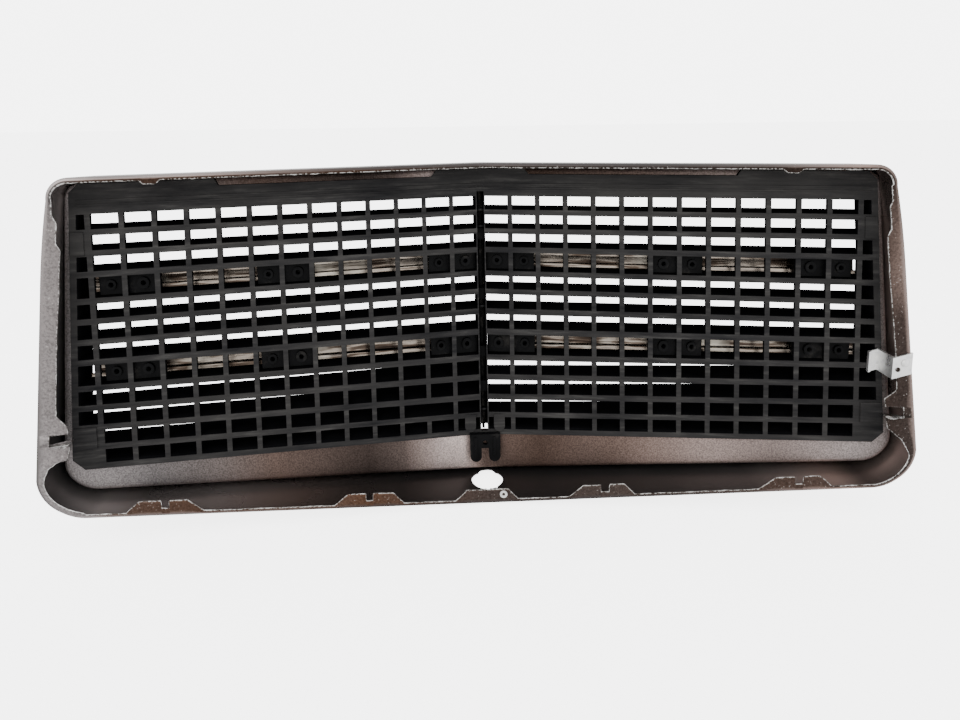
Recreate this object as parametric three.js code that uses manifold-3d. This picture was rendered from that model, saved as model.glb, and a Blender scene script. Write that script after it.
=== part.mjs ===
// Front radiator grille of a saloon car: a pressed bright metal surround with a black moulded
// insert, four bright cross mouldings on black clips, a centre moulding, a two-legged clip at
// the centre and one zinc-plated strap at the side.
//
// Millimetres. +X across the car, +Z up with the deep rim at the bottom, +Y to the show side.
// The two halves meet in a shallow prow: the insert lies in two planes that sweep back from the
// centre line by V_ANGLE and lean forward by RAKE as they rise.

import * as THREE from 'three';
import { mergeVertices } from 'three/addons/utils/BufferGeometryUtils.js';
import Module from 'manifold-3d';

const wasm = await Module();
wasm.setup();
const { Manifold, Mesh: SolidMesh } = wasm;

// ---------------------------------------------------------------- driving dimensions

const V_ANGLE = 11.15;          // sweep of each half back from the prow, degrees
const RAKE = 11;                // forward lean of the insert planes, degrees
const COLUMN_PITCH = 22.5;      // divider spacing along each half
const COLUMNS = 13;             // full columns in each half, before the outer lug column
const ROW_PITCH = 14.9;         // bar spacing of a plain row
const TRIM_PITCH = 19.2;        // bar spacing of a row that carries a bright moulding
const TRIM_ROWS = [4, 8];       // rows with a moulding, counted from the top
const ROWS = 12;
const BOTTOM_BAR = 14.8;        // height of the bottom bar's centre line above the datum
const BAR_HEIGHT = 4.3;
const DIVIDER_WIDTH = 3.7;
const FAN = 0.00016;            // spread of the dividers per millimetre below the top bar
const LATTICE_DEPTH = 3;        // fore and aft thickness of the lattice
const SLAT_DEPTH = 24;          // from the lattice's rear face to a slat's front edge
const SLAT_REAR = 3.7;          // slat thickness at the lattice
const SLAT_FRONT = 2.4;         // slat thickness at the front edge
const SLAT_RISE = 1.3;          // climb of every slat from its rear edge to its front edge
// further climb of the lowest slats, which have warped: at the centre and at the outer end
const LEFT_WARP = [3.3, -0.8];
const RIGHT_WARP = [-1, 3.5];
const SLOT_HALF = 2.9;          // half width of the slot behind the centre moulding
const OUTER_COLUMN = 20.4;      // lug column and border together, at MID_HEIGHT
const BORDER = 4.6;             // border outside the last cells
const BORDER_TAPER = 0.1;       // narrowing of the insert's half per millimetre of height
const BAND = 19;                // height of the plain band above the top bar
const CROWN = 11;               // drop of the lowest rows at the centre line
const CROWN_HIGH = 120;         // rows above this height stay level
const CROWN_LOW = 40;           // rows below this height have the whole drop

const SHEET = 1;                // thickness of the surround's sheet
const FLANGE_SET = 20;          // how far the rear flange stands behind the insert's rear face
const DEEP_SET = 41;            // the same at the centre of the deep rim
const RIM_OUT = 10.5;           // reach of the rim outside the insert's border, at MID_HEIGHT
const RIM_LEFT = 2.4;           // how much further out the rim's left side stands
const RIM_PINCH = 3.6;          // extra narrowing of the rim at its shallow edge
const MID_HEIGHT = 98;
const RIM_TAPER = 0.137;        // narrowing of the surround per millimetre of height
const RIM_ABOVE = 6.4;          // reach of the rim above the insert's band
const RIM_BELOW = 28.6;         // reach of the rim below the bottom bar, at the corners
const RIM_CROWN = 24;           // how much deeper the rim is at the centre than at the corners
const NOSE_SET = 31;            // how far the nose stands ahead of the insert's rear face

const STRIP_BACK = 17;          // rear edge of a cross moulding, from the insert's rear face
const STRIP_FRONT = 25.4;       // its front edge
const STRIP_WALL = 1.1;
const CLIP_COLUMNS = [1, 7, 12]; // dividers that have a moulding clip in front of them
const CLIP_WIDTH = 40;

const BADGE_RADIUS = 13.5;      // round hole in the deep rim
const BADGE_LOBE = 7.4;         // radius of the smaller lobe in its front edge
const STRAP_WIDTH = 16;
const STRAP_THICK = 1.6;
const RIVET_RADIUS = 1.6;

const GAP = 0.3;                // clearance between neighbouring pieces
const SEAT = LATTICE_DEPTH + SHEET / 2 + GAP + 0.05; // middle of the sheet the insert seats on

const RAD = Math.PI / 180;
const SWEEP = Math.tan(V_ANGLE * RAD);
const LEAN = Math.tan(RAKE * RAD);
const COS_V = Math.cos(V_ANGLE * RAD);

// ---------------------------------------------------------------- the insert's own frame

const clamp01 = (t) => Math.min(1, Math.max(0, t));

/** Nominal heights of the bar centre lines, from the top bar down. */
function barHeights() {
  const heights = [BOTTOM_BAR];
  for (let row = ROWS; row >= 1; row -= 1) {
    const pitch = TRIM_ROWS.includes(row) ? TRIM_PITCH : ROW_PITCH;
    heights.unshift(heights[0] + pitch);
  }
  return heights;
}

const BARS = barHeights();
const BAND_TOP = BARS[0] + BAND;
const BOTTOM_EDGE = BARS[ROWS] - BAR_HEIGHT / 2;
const FIRST_CELL = SLOT_HALF + 0.9;
const BORDER_RUN = FIRST_CELL + COLUMNS * COLUMN_PITCH + OUTER_COLUMN;
const INSERT_HALF = BORDER_RUN * COS_V;

/** Y of the insert's rear face at a point of the elevation. */
function faceY(x, z) {
  return -Math.abs(x) * SWEEP + z * LEAN;
}

/** Point given by half (-1 or 1), run along the half, nominal height and depth from the rear. */
function onHalf(side, run, height, depth) {
  const drop = CROWN * clamp01((CROWN_HIGH - height) / (CROWN_HIGH - CROWN_LOW));
  const z = height - drop * (1 - run / BORDER_RUN);
  const x = side * run * COS_V;
  return [x, faceY(run * COS_V, z) + depth, z];
}

/** Run of the insert's outer edge at a nominal height. */
function borderRun(height) {
  return BORDER_RUN - BORDER_TAPER * (height - MID_HEIGHT);
}

/** Run at a height of a divider line that has a given run at the top bar. */
function fanned(run, height) {
  return run * (1 + FAN * (BARS[0] - height));
}

/** Run at the top bar of the edge of a column nearer the centre. */
function columnStart(column) {
  return FIRST_CELL + column * COLUMN_PITCH;
}

// ---------------------------------------------------------------- solids

function toSolid(geometry) {
  const plain = geometry.clone();
  plain.deleteAttribute('normal');
  plain.deleteAttribute('uv');
  const welded = mergeVertices(plain, 1e-4);
  const mesh = new SolidMesh({
    numProp: 3,
    vertProperties: new Float32Array(welded.attributes.position.array),
    triVerts: new Uint32Array(welded.index.array),
  });
  return new Manifold(mesh);
}

function toGeometry(solid) {
  const mesh = solid.getMesh();
  const geometry = new THREE.BufferGeometry();
  geometry.setAttribute('position', new THREE.BufferAttribute(mesh.vertProperties, 3));
  geometry.setIndex(new THREE.BufferAttribute(mesh.triVerts, 1));
  return geometry;
}

function asSolid(part) {
  return part instanceof THREE.BufferGeometry ? toSolid(part) : part;
}

function joined(parts) {
  return Manifold.union(parts.map(asSolid));
}

function cutAway(part, cutters) {
  return asSolid(part).subtract(joined(cutters));
}

/** Moves every vertex through place(), turning the faces over where place() mirrors. */
function mapped(geometry, place, mirrors) {
  const source = geometry.index ? geometry.toNonIndexed() : geometry;
  const old = source.attributes.position;
  const points = new Float32Array(old.count * 3);
  for (let i = 0; i < old.count; i += 1) {
    points.set(place(old.getX(i), old.getY(i), old.getZ(i)), i * 3);
  }
  if (mirrors) {
    for (let t = 0; t < old.count; t += 3) {
      const swap = points.slice(t * 3 + 3, t * 3 + 6);
      points.copyWithin(t * 3 + 3, t * 3 + 6, t * 3 + 9);
      points.set(swap, t * 3 + 6);
    }
  }
  const result = new THREE.BufferGeometry();
  result.setAttribute('position', new THREE.BufferAttribute(points, 3));
  return result;
}

/** Six-sided solid from eight corners: place(a, b, c) for a, b, c of 0 or 1. */
function hexa(place, mirrors) {
  return mapped(new THREE.BoxGeometry(1, 1, 1).translate(0.5, 0.5, 0.5), place, mirrors);
}

/** Box between two corners. */
function box(low, high) {
  const size = high.map((v, i) => v - low[i]);
  const geometry = new THREE.BoxGeometry(...size);
  return geometry.translate(...low.map((v, i) => v + size[i] / 2));
}

function polygon(points) {
  return new THREE.Shape(points.map(([x, y]) => new THREE.Vector2(x, y)));
}

function extruded(shape, depth, curveSegments = 12) {
  return new THREE.ExtrudeGeometry(shape, { depth, bevelEnabled: false, curveSegments });
}

/** Cylinder along Y between two depths. */
function pegY(x, z, radius, y0, y1, segments = 20) {
  const geometry = new THREE.CylinderGeometry(radius, radius, y1 - y0, segments);
  return geometry.translate(x, (y0 + y1) / 2, z);
}

// ---------------------------------------------------------------- surround

/**
 * One rail of the pressed section. Half width at MID_HEIGHT, taper, top and bottom heights,
 * corner radii, extra drop of the bottom at the centre, depth from the insert's rear face at
 * the sides and top, and along the bottom at the centre.
 */
const RIM_TOP = BAND_TOP + RIM_ABOVE;
const RIM_BOTTOM = BARS[ROWS] - RIM_BELOW;

const RAILS = {
  opening: { half: INSERT_HALF - 3, taper: 0.098, top: BARS[0] + 4.6, bottom: BARS[ROWS] + 0.8,
    high: 4, low: 8, crown: CROWN, set: SEAT, low_set: SEAT },
  fold: { half: INSERT_HALF + 6.3, taper: 0.112, top: BAND_TOP + 0.5, bottom: RIM_BOTTOM + 8.9,
    high: 12, low: 22, crown: RIM_CROWN + 2, set: SEAT, low_set: SEAT },
  shelf: { half: INSERT_HALF + 3.8, taper: 0.112, top: BAND_TOP - 2, bottom: RIM_BOTTOM + 10.2,
    high: 10, low: 20, crown: RIM_CROWN + 1, set: NOSE_SET - 2, low_set: NOSE_SET - 2 },
  nose_in: { half: INSERT_HALF + 4.4, taper: 0.115, top: BAND_TOP - 1.4,
    bottom: RIM_BOTTOM + 9.2, high: 10, low: 20, crown: RIM_CROWN + 1, set: NOSE_SET,
    low_set: NOSE_SET },
  nose_out: { half: INSERT_HALF + 6.6, taper: 0.12, top: BAND_TOP + 1, bottom: RIM_BOTTOM + 5.2,
    high: 12, low: 24, crown: RIM_CROWN + 0.5, set: NOSE_SET, low_set: NOSE_SET },
  brow: { half: INSERT_HALF + 7.7, taper: 0.125, top: BAND_TOP + 2.2, bottom: RIM_BOTTOM + 3.4,
    left: RIM_LEFT / 2, pinch: RIM_PINCH / 2, high: 13, low: 26, crown: RIM_CROWN,
    set: NOSE_SET - 2.5, low_set: NOSE_SET - 2.5 },
  wall: { half: INSERT_HALF + RIM_OUT - 0.6, taper: RIM_TAPER, top: RIM_TOP - 0.4,
    left: RIM_LEFT, pinch: RIM_PINCH, bottom: RIM_BOTTOM + 0.3, high: 14, low: 30,
    crown: RIM_CROWN, set: 2 - FLANGE_SET, low_set: 3 - DEEP_SET },
  heel: { half: INSERT_HALF + RIM_OUT - 1.1, taper: RIM_TAPER, top: RIM_TOP - 0.9,
    left: RIM_LEFT, pinch: RIM_PINCH, bottom: RIM_BOTTOM + 0.7, high: 14, low: 30,
    crown: RIM_CROWN, set: 0.4 - FLANGE_SET, low_set: -0.2 - DEEP_SET },
};

/**
 * Inward reach of the rear flange along the left and right sides: pairs of a mark and a reach.
 * Marks run up the rim from MARKS[0] at its lower edge to MARKS[1] at its upper edge.
 */
const MARKS = [-13.1, 226.5];
const LEFT_FLANGE = [[-13, 4], [14, 4.3], [20, 5.3], [25.5, 7.5], [29.4, 12.9], [31, 19.9],
  [38, 21.3], [55, 19.3], [63.5, 11.7], [118, 11.1], [150, 11.8], [179, 11.5], [184, 8.3],
  [197.5, 7.8], [203, 4.4], [213, 3.1], [226, 2.2]];
const RIGHT_FLANGE = [[-13, 2.5], [12, 4.1], [17, 6.5], [24.4, 10.1], [33, 19.5], [38, 20.3],
  [56, 20.3], [63, 11.5], [94, 10.5], [138, 11.2], [150, 11.4], [177, 10.8], [182, 7.6],
  [198, 6.8], [203, 4.4], [213, 3.6], [226, 2.4]];

// slot in the wide tab of each side flange: the marks it runs between and its depth from the rim
const FLANGE_SLOT = [42.4, 49.8];
const FLANGE_SLOT_FROM = 7.5;

/**
 * Tabs on the bottom edge: foot and head of each, with the notch in the head if it has one, on
 * a scale of EDGE_MARKS from the centre line to a corner.
 */
const EDGE_MARKS = 301;
const BOTTOM_TABS = [
  { feet: [-273.8, -219], head: [-264, -230], notch: [-248.6, -243.4] },
  { feet: [-122.6, -68.4], head: [-111.7, -76.6], notch: [-97.8, -92.6] },
  { feet: [-27.1, 24], head: [-17.4, 16.4], notch: null },
  { feet: [65.4, 118.2], head: [77.2, 109.6], notch: [91.2, 97.6] },
  { feet: [214.5, 270.7], head: [228, 261], notch: [242.4, 248.4] },
];
const TAB_REACH = 11.4;
const EDGE_REACH = 2.6;
const TOP_MARKS = 290;
const TOP_TABS = [
  { feet: [-245, -231], head: [-242, -234] },
  { feet: [225, 239], head: [228, 236] },
];
const TOP_REACH = 2.7;
const TOP_TAB_REACH = 5.3;

/** Value of a [position, value] table at a position, linear between entries. */
function lookUp(table, at) {
  if (at <= table[0][0]) {
    return table[0][1];
  }
  for (let i = 1; i < table.length; i += 1) {
    const [p1, v1] = table[i];
    if (at <= p1) {
      const [p0, v0] = table[i - 1];
      return v0 + ((v1 - v0) * (at - p0)) / (p1 - p0);
    }
  }
  return table[table.length - 1][1];
}

/** Positions across the bottom edge, closer together where the tabs begin and end. */
function bottomStations() {
  const stations = [0, -EDGE_MARKS, -288, 288, EDGE_MARKS];
  for (const tab of BOTTOM_TABS) {
    stations.push(...tab.feet, ...tab.head);
    if (tab.notch) {
      const [a, b] = tab.notch;
      stations.push(a - 0.4, a, b, b + 0.4);
    }
  }
  stations.push(-200, -160, -140, -50, -8, 8, 45, 140, 170, 195);
  return stations.sort((a, b) => a - b);
}

function tabReach(x) {
  for (const tab of BOTTOM_TABS) {
    if (x >= tab.feet[0] && x <= tab.feet[1]) {
      const [n0, n1] = tab.notch ?? [1, 0];
      if (x >= n0 && x <= n1) {
        return EDGE_REACH + 3;
      }
      const rise = clamp01((x - tab.feet[0]) / (tab.head[0] - tab.feet[0]));
      const fall = clamp01((tab.feet[1] - x) / (tab.feet[1] - tab.head[1]));
      return EDGE_REACH + (TAB_REACH - EDGE_REACH) * Math.min(rise, fall);
    }
  }
  return EDGE_REACH;
}

/** Height of a mark on the side of the flange, and the mark at a height. */
function markHeight(mark) {
  const { bottom, top } = RAILS.heel;
  return bottom + ((mark - MARKS[0]) / (MARKS[1] - MARKS[0])) * (top - bottom);
}

function markAt(height) {
  const { bottom, top } = RAILS.heel;
  return MARKS[0] + ((height - bottom) / (top - bottom)) * (MARKS[1] - MARKS[0]);
}

/** Stations up one side of the rim: the lower corner and the straight side above it. */
function sideStations(side, table) {
  const { bottom, low, top, high } = RAILS.heel;
  const stations = [];
  for (let i = 1; i < 8; i += 1) {
    const station = { part: 'corner', side, low: true, at: i / 8 };
    const reach = lookUp(table, markAt(railElevation(RAILS.heel, station).z));
    stations.push({ ...station, reach });
  }
  const span = top - high - bottom - low;
  for (const [mark, reach] of table) {
    const at = (markHeight(mark) - bottom - low) / span;
    if (at > 0 && at < 1) {
      stations.push({ part: 'side', side, at, reach });
    }
  }
  return stations;
}

function topReach(x) {
  for (const { feet, head } of TOP_TABS) {
    if (x >= feet[0] && x <= feet[1]) {
      const rise = clamp01((x - feet[0]) / (head[0] - feet[0]));
      const fall = clamp01((feet[1] - x) / (feet[1] - head[1]));
      return TOP_REACH + (TOP_TAB_REACH - TOP_REACH) * Math.min(rise, fall);
    }
  }
  return TOP_REACH;
}

/**
 * Stations round the rim, starting at the bottom left corner and running to the right, up,
 * back across the top and down. Each gives the part of the rim, a fraction along it and the
 * flange's reach there.
 */
function rimStations() {
  const stations = [];
  for (const x of bottomStations()) {
    stations.push({ part: 'bottom', at: x / EDGE_MARKS, reach: tabReach(x) });
  }
  stations.push(...sideStations(1, RIGHT_FLANGE));
  for (let i = 1; i < 6; i += 1) {
    stations.push({ part: 'corner', side: 1, low: false, at: i / 6, reach: TOP_REACH });
  }
  const tabs = TOP_TABS.flatMap(({ feet, head }) => [...feet, ...head]);
  const tops = [...tabs, -TOP_MARKS, -160, -80, 0, 80, 160, TOP_MARKS].sort((a, b) => b - a);
  for (const x of tops) {
    stations.push({ part: 'top', at: x / TOP_MARKS, reach: topReach(x) });
  }
  for (let i = 1; i < 6; i += 1) {
    stations.push({ part: 'corner', side: -1, low: false, at: 1 - i / 6, reach: TOP_REACH });
  }
  stations.push(...sideStations(-1, LEFT_FLANGE).reverse());
  return stations;
}

/** Half width of a rail at a height. */
function railHalf(rail, z, side = 1) {
  const pinch = clamp01((z - BARS[3]) / (RIM_TOP - BARS[3])) ** 2 * (rail.pinch ?? 0);
  const left = side < 0 ? rail.left ?? 0 : 0;
  return rail.half + left - pinch - rail.taper * (z - MID_HEIGHT);
}

/** Elevation of a rail at a station, before its drop at the centre: x, z and lowness. */
function railElevation(rail, station) {
  const side = station.side ?? (station.at < 0 ? -1 : 1);
  const lowSpring = rail.bottom + rail.low;
  const highSpring = rail.top - rail.high;
  const lowHalf = railHalf(rail, lowSpring, side);
  const highHalf = railHalf(rail, highSpring, side);
  if (station.part === 'bottom') {
    return { x: station.at * (lowHalf - rail.low), z: rail.bottom, low: 1 };
  }
  if (station.part === 'top') {
    return { x: station.at * (highHalf - rail.high), z: rail.top, low: 0 };
  }
  if (station.part === 'side') {
    const z = lowSpring + (highSpring - lowSpring) * station.at;
    return { x: side * railHalf(rail, z, side), z, low: 0 };
  }
  const turn = station.at * 90 * RAD;
  if (station.low) {
    const x = lowHalf - rail.low + rail.low * Math.sin(turn);
    return { x: side * x, z: lowSpring - rail.low * Math.cos(turn), low: Math.cos(turn) };
  }
  const x = highHalf - rail.high + rail.high * Math.cos(turn);
  return { x: side * x, z: highSpring + rail.high * Math.sin(turn), low: 0 };
}

/** Point of a rail at a station in the frame of the grille. */
function railPoint(rail, station) {
  const { x, z, low } = railElevation(rail, station);
  const inward = clamp01(1 - Math.abs(x) / rail.half);
  const height = z - rail.crown * inward * low;
  const set = rail.set + (rail.low_set - rail.set) * inward * low;
  return new THREE.Vector3(x, faceY(x, height) + set, height);
}

/** Section of the sheet's middle surface at a station, from the opening to the flange's edge. */
function rimSection(station) {
  const points = Object.values(RAILS).map((rail) => railPoint(rail, station));
  const heel = points[points.length - 1];
  const next = points[points.length - 2];
  const inward = inwardOf(station);
  const lip = heel.clone().addScaledVector(inward, station.reach);
  lip.y = faceY(lip.x, lip.z) + (heel.y - faceY(heel.x, heel.z)) - 0.3;
  const bend = heel.clone().addScaledVector(inward, 0.9);
  bend.y = next.y - 2;
  points.push(lip);
  return points;
}

/** Unit vector in the elevation from the rim towards the opening. */
function inwardOf(station) {
  const side = station.side ?? 1;
  if (station.part === 'bottom') {
    return new THREE.Vector3(0, 0, 1);
  }
  if (station.part === 'top') {
    return new THREE.Vector3(0, 0, -1);
  }
  if (station.part === 'side') {
    return new THREE.Vector3(-side, 0, 0);
  }
  const turn = station.at * 90 * RAD;
  if (station.low) {
    return new THREE.Vector3(-side * Math.sin(turn), 0, Math.cos(turn));
  }
  return new THREE.Vector3(-side * Math.cos(turn), 0, -Math.sin(turn));
}

/** Closed sheet of even thickness about a ring of sections. */
function sheetRing(sections, thickness) {
  const count = sections.length;
  const width = sections[0].length;
  const at = (i, j) => sections[(i + count) % count][Math.min(width - 1, Math.max(0, j))];
  const points = [];
  for (const face of [0.5, -0.5]) {
    for (let i = 0; i < count; i += 1) {
      for (let j = 0; j < width; j += 1) {
        const round = at(i + 1, j).clone().sub(at(i - 1, j)).normalize();
        const before = at(i, j).clone().sub(at(i, j - 1)).normalize();
        const after = at(i, j + 1).clone().sub(at(i, j)).normalize();
        const n1 = round.clone().cross(before);
        const n2 = round.clone().cross(after);
        const normal = n1.clone().add(n2).normalize();
        const edge = j === 0 || j === width - 1;
        const lean = edge ? 1 : Math.max(0.6, normal.dot(n1.clone().normalize()));
        points.push(at(i, j).clone().addScaledVector(normal, (face * thickness) / lean));
      }
    }
  }
  const triangles = [];
  const id = (face, i, j) => face * count * width + (i % count) * width + j;
  const quad = (a, b, c, d) => triangles.push(a, b, c, a, c, d);
  for (let i = 0; i < count; i += 1) {
    for (let j = 0; j < width - 1; j += 1) {
      quad(id(0, i, j), id(0, i + 1, j), id(0, i + 1, j + 1), id(0, i, j + 1));
      quad(id(1, i, j), id(1, i, j + 1), id(1, i + 1, j + 1), id(1, i + 1, j));
    }
    quad(id(0, i, 0), id(1, i, 0), id(1, i + 1, 0), id(0, i + 1, 0));
    const last = width - 1;
    quad(id(0, i, last), id(0, i + 1, last), id(1, i + 1, last), id(1, i, last));
  }
  const geometry = new THREE.BufferGeometry();
  const flat = new Float32Array(points.flatMap((p) => [p.x, p.y, p.z]));
  geometry.setAttribute('position', new THREE.BufferAttribute(flat, 3));
  geometry.setIndex(triangles);
  return geometry;
}

/** Upright cutters for the badge hole: a round hole with a smaller lobe towards the front. */
function badgeCutters() {
  const y = (RAILS.wall.low_set + RAILS.brow.set) / 2 - 11;
  const round = new THREE.CylinderGeometry(BADGE_RADIUS, BADGE_RADIUS, 40, 40);
  const lobe = new THREE.CylinderGeometry(BADGE_LOBE, BADGE_LOBE, 40, 24);
  const z = RIM_BOTTOM - RIM_CROWN;
  round.rotateX(90 * RAD).translate(1, y, z);
  lobe.rotateX(90 * RAD).translate(1, y + BADGE_RADIUS + 4 - BADGE_LOBE, z);
  return [round, lobe];
}

/** Slots in the wide tab of each side flange, open towards the insert. */
function slotCutters() {
  const [low, high] = FLANGE_SLOT.map(markHeight);
  return [-1, 1].map((side) => {
    const rim = railHalf(RAILS.wall, low, side);
    const y = faceY(rim, low) - FLANGE_SET;
    const outer = side * (rim - FLANGE_SLOT_FROM);
    const inner = side * (rim - 25);
    return box(
      [Math.min(outer, inner), y - 12, low],
      [Math.max(outer, inner), y + 12, high],
    );
  });
}

/** Distance of the rear lip's middle surface from the insert's rear face, along the bottom. */
function lipSet(x) {
  const { half, set, low_set: deep } = RAILS.heel;
  return set + (deep - set) * clamp01(1 - Math.abs(x) / half) - 0.3;
}

/** Turns a shape made about the Y axis to stand square on a face with a given sweep. */
function squared(geometry, side, sweep, at) {
  const normal = new THREE.Vector3(side * sweep, 1, -LEAN).normalize();
  const turn = new THREE.Quaternion().setFromUnitVectors(new THREE.Vector3(0, 1, 0), normal);
  return geometry.applyQuaternion(turn).translate(...at);
}

const NUT_X = 12.5;             // rivet nut in the centre tab of the deep rim
const NUT_RISE = TAB_REACH - 4.2; // its height above the rim's lower edge there
const NUT_RADIUS = 2;

function nutPlace() {
  const { crown, half, bottom } = RAILS.heel;
  const z = bottom - crown * (1 - NUT_X / half) + NUT_RISE;
  return [NUT_X, faceY(NUT_X, z) + lipSet(NUT_X), z];
}

/** Sweep of the rear lip along the bottom edge. */
function lipSweep() {
  return SWEEP + (RAILS.heel.low_set - RAILS.heel.set) / RAILS.heel.half;
}

function surroundShell() {
  const ring = toSolid(sheetRing(rimStations().map(rimSection), SHEET));
  const nut = new THREE.CylinderGeometry(NUT_RADIUS + GAP, NUT_RADIUS + GAP, 12, 20);
  const rivet = new THREE.CylinderGeometry(RIVET_RADIUS + GAP, RIVET_RADIUS + GAP, 10, 20);
  return cutAway(ring, [
    ...badgeCutters(),
    ...slotCutters(),
    squared(nut, 1, lipSweep(), nutPlace()),
    squared(rivet, 1, SWEEP, rivetPlace()),
  ]);
}

// ---------------------------------------------------------------- insert

/** Closed outline of one half of the lattice, in run and height. */
function latticeOutline(side) {
  const bottomRun = borderRun(BOTTOM_EDGE);
  const n0 = 36.5;
  const n1 = BORDER_RUN - 114;
  const floor = BAND_TOP - (side < 0 ? 4.8 : 4);
  return [
    [-0.3, BOTTOM_EDGE],
    [bottomRun - 9, BOTTOM_EDGE],
    [bottomRun - 1, BOTTOM_EDGE + 8],
    [borderRun(BAND_TOP - 6), BAND_TOP - 6],
    [borderRun(BAND_TOP) - 6, BAND_TOP],
    [n1 + 2.6, BAND_TOP],
    [n1, floor],
    [n0 + 3.6, floor],
    [n0, BAND_TOP],
    [-0.3, BAND_TOP],
    [-0.3, BARS[0] + 1.6],
    [SLOT_HALF, BARS[0] + 1.6],
    [SLOT_HALF, BARS[ROWS] + 0.6],
    [-0.3, BARS[ROWS] + 0.6],
  ];
}

/** Whether a cell of the outer column is filled by a mounting lug or the corner's gusset. */
function isLug(row, column) {
  return column === COLUMNS && (row === 2 || row === 11 || row === ROWS);
}

/** Corners of the openings of one half of the lattice, in run and height. */
function latticeCells(side) {
  const cells = [];
  const half = BAR_HEIGHT / 2;
  for (let row = 1; row <= ROWS; row += 1) {
    const top = BARS[row - 1] - half;
    const low = BARS[row] + half;
    for (let column = 0; column <= COLUMNS; column += 1) {
      const broken = side < 0 && row === 11;
      if (isLug(row, column) || (broken && column === 1)) {
        continue;
      }
      const start = columnStart(broken && column === 2 ? 1 : column);
      const end = columnStart(column + 1) - DIVIDER_WIDTH;
      const lowStart = fanned(start, low);
      const topStart = fanned(start, top);
      if (column < COLUMNS) {
        cells.push([
          [lowStart, low],
          [fanned(end, low), low],
          [fanned(end, top), top],
          [topStart, top],
        ]);
        continue;
      }
      cells.push([
        [lowStart, low],
        [borderRun(low) - BORDER, low],
        [borderRun(top) - BORDER, top],
        [topStart, top],
      ]);
    }
  }
  return cells;
}

/** Maps run, height and depth on one half into the grille. */
function placeOn(side) {
  return (run, height, depth) => onHalf(side, run, height, depth);
}

function latticeHalf(side) {
  const place = placeOn(side);
  const plate = mapped(extruded(polygon(latticeOutline(side)), LATTICE_DEPTH), place, side > 0);
  const cells = latticeCells(side).map((cell) => {
    const cutter = extruded(polygon(cell), LATTICE_DEPTH + 2).translate(0, 0, -1);
    return mapped(cutter, place, side > 0);
  });
  return cutAway(plate, cells);
}

/** Climb of a slat's front edge over its rear edge. */
function slatRise(side, run, height) {
  const low = clamp01((BARS[8] - 0.4 - height) / 12);
  const outward = run / BORDER_RUN;
  const [inner, outer] = side > 0 ? RIGHT_WARP : LEFT_WARP;
  return SLAT_RISE + low * (inner + (outer - inner) * outward);
}

/** Deep slat of a bar, thinner and higher towards the front. */
function slat(side, height, thin = 0, short = 0) {
  const ends = [SLOT_HALF + 0.3, borderRun(height) - BORDER + 0.4 - short];
  const place = (a, b, c) => {
    const thick = (c ? SLAT_FRONT : SLAT_REAR) - thin;
    const rise = c ? slatRise(side, ends[a], height) : 0;
    const depth = c ? SLAT_DEPTH : 1;
    return onHalf(side, ends[a], height + rise + (b - 0.5) * thick, depth);
  };
  return hexa(place, side > 0);
}

/** End wall that ties the slats of a half together. */
function endWall(side) {
  const place = (a, b, c) => {
    const height = b ? BARS[0] + 1 : BARS[ROWS - 1] - 4;
    const run = borderRun(height) - BORDER + (a ? 0.9 : -0.8);
    return onHalf(side, run, height, c ? SLAT_DEPTH - 1 : 1);
  };
  return hexa(place, side > 0);
}

/** Wall of the slot that holds the centre moulding. */
function slotWall(side) {
  const place = (a, b, c) => {
    const z = b ? BARS[0] + 1 : BARS[ROWS] - CROWN + 3;
    const x = (SLOT_HALF + (a ? 0.8 : 0.1)) * COS_V;
    return [side * x, faceY(x, z) + (c ? SLAT_DEPTH - 0.6 : 1), z];
  };
  return hexa(place, side > 0);
}

/** Upright slab across the centre line, for ties and the solid ends of the slot. */
function centreSlab(z0, z1, depth0, depth1, half) {
  const place = (a, b, c) => {
    const z = b ? z1 : z0;
    return [(a - 0.5) * 2 * half, faceY(0, z) + (c ? depth1 : depth0), z];
  };
  return hexa(place, true);
}

/** Fine rib along the rear of the top band. */
function bandRib(side, height, rise) {
  const place = (a, b, c) => onHalf(
    side,
    a ? borderRun(height) - 5 : -0.2,
    height + (b - 0.5) * 1.1,
    c ? 0.8 : -rise,
  );
  return hexa(place, side > 0);
}

/** Solid block behind the lattice at a lug. */
function lugBlock(side, row) {
  const top = BARS[row - 1] + 0.5;
  const low = BARS[row] - 0.5;
  const place = (a, b, c) => {
    const height = b ? top : low;
    const run = a ? borderRun(height) - 1.2 : fanned(columnStart(COLUMNS), height) + 1;
    return onHalf(side, run, height, c ? LATTICE_DEPTH - 0.8 : -1.6);
  };
  return hexa(place, side > 0);
}

/** Rounded tongue hanging behind the lowest row, beside the centre. */
function tongue(centreX) {
  const half = 4.7;
  const shape = new THREE.Shape();
  shape.moveTo(-half, 15);
  shape.lineTo(-half, half);
  shape.absarc(0, half, half, Math.PI, 2 * Math.PI, false);
  shape.lineTo(half, 15);
  shape.closePath();
  const low = BARS[ROWS] - CROWN + 1.2;
  const place = (x, z, depth) => {
    const height = low + z;
    return [centreX + x, faceY(Math.abs(centreX) + half, height) + depth - 0.4, height];
  };
  return mapped(extruded(shape, 2.4, 8), place, true);
}

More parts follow.
